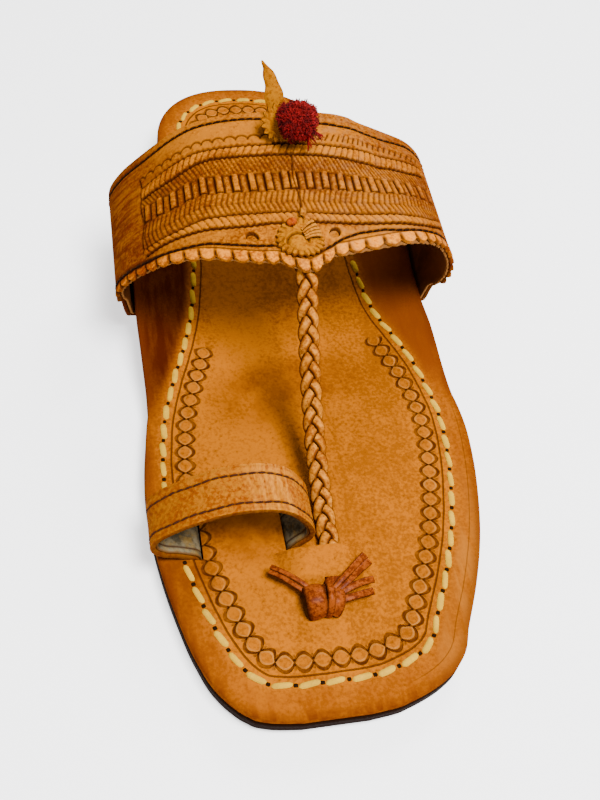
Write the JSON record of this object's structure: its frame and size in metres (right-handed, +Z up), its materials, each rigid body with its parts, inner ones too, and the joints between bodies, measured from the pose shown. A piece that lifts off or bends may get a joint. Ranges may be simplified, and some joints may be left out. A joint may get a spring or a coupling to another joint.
{
  "type": "kolhapuri sandal",
  "caption": "Leather toe-loop sandal for the left foot: flat sole with side wings, scalloped instep band, braided strap ending in a knot, toothed rosettes, a leaf-shaped ear and a wool pompom.",
  "frame": {"origin": "on the floor under the middle of the sandal's box", "axes": "+Z up, +Y from the toe to the heel, +X to the little toe's side"},
  "size_m": [0.1154, 0.272, 0.0879],
  "materials": {
    "sole_leather": "thick dark brown sole leather, its edges waxed",
    "footbed_leather": "bright ochre vegetable-tanned leather, polished, burnished dark brown on the wings",
    "tooled_leather": "golden tan leather with hand-tooled lines, darker reddish brown down the sides",
    "knot_leather": "reddish-brown leather strips",
    "trim_leather": "light tan leather, teeth cut round the edge",
    "red_wool": "deep red wool, tufted"
  },
  "bodies": {
    "root": {"outsole": "sole_leather", "heel": "sole_leather", "insole": "footbed_leather", "upper": "tooled_leather", "toe_loop": "tooled_leather", "knot": "knot_leather", "front_rosette": "trim_leather", "rear_rosette": "trim_leather", "ear": "trim_leather", "pompom": "red_wool"}
  },
  "joints": []
}
